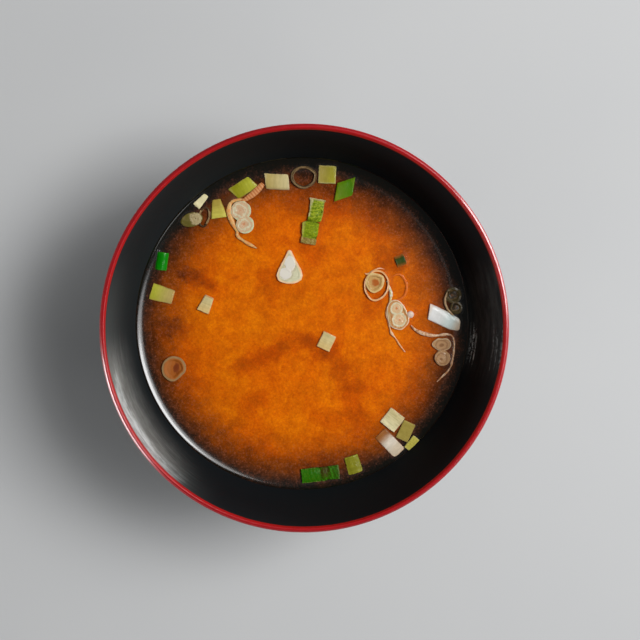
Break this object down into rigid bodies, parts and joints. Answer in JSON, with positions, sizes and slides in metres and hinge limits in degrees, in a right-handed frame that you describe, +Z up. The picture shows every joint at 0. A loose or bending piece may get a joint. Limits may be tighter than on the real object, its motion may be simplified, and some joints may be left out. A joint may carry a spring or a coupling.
{
  "type": "bowl of miso soup",
  "caption": "Miso soup with sliced spring onion afloat, in a deep round black lacquered bowl with a red lip and a foot ring.",
  "frame": {"origin": "centre of the bowl's foot ring, on the surface it stands on", "axes": "+Z up along the bowl's turning axis; +Y is the far side of the soup, +X its right side"},
  "size_m": [0.115, 0.115, 0.066],
  "materials": {
    "lacquer": "high gloss black lacquer, with a vermilion lip",
    "broth": "wet, clear brown at the edge and cloudy orange in the middle",
    "onion_white": "wet, fibrous",
    "onion_cream": "wet, fibrous",
    "onion_yellow_green": "wet, fibrous",
    "onion_green": "wet, fibrous",
    "onion_skin": "wet, translucent"
  },
  "bodies": {
    "root": {"bowl": "lacquer", "soup": "broth", "chip_slim": "onion_cream", "chip_pale": "onion_yellow_green", "chip_olive": "onion_yellow_green", "chip_cream_far": "onion_cream", "chip_yellow_far": "onion_yellow_green", "chip_green_far": "onion_green", "chip_green_left": "onion_green", "chip_yellow_left": "onion_yellow_green", "chip_cream_left": "onion_cream", "chip_cream_middle": "onion_cream", "leaf_fold": "onion_yellow_green", "chip_white_right": "onion_white", "chip_cream_right": "onion_cream", "chip_olive_right": "onion_cream", "chip_white_near": "onion_white", "chip_small_near": "onion_yellow_green", "chip_green_near": "onion_green", "chip_yellow_near": "onion_yellow_green", "curl_left": "onion_skin", "ring_small_left": "onion_skin", "double_ring_far": "onion_white", "ring_far": "onion_skin", "stem_slice": "onion_white", "ring_left": "onion_skin", "ring_skin": "onion_skin", "ring_heart": "onion_white", "double_slice": "onion_cream", "double_ring_olive": "onion_skin", "double_ring_right": "onion_skin", "skin_strand": "onion_skin"}
  },
  "joints": []
}
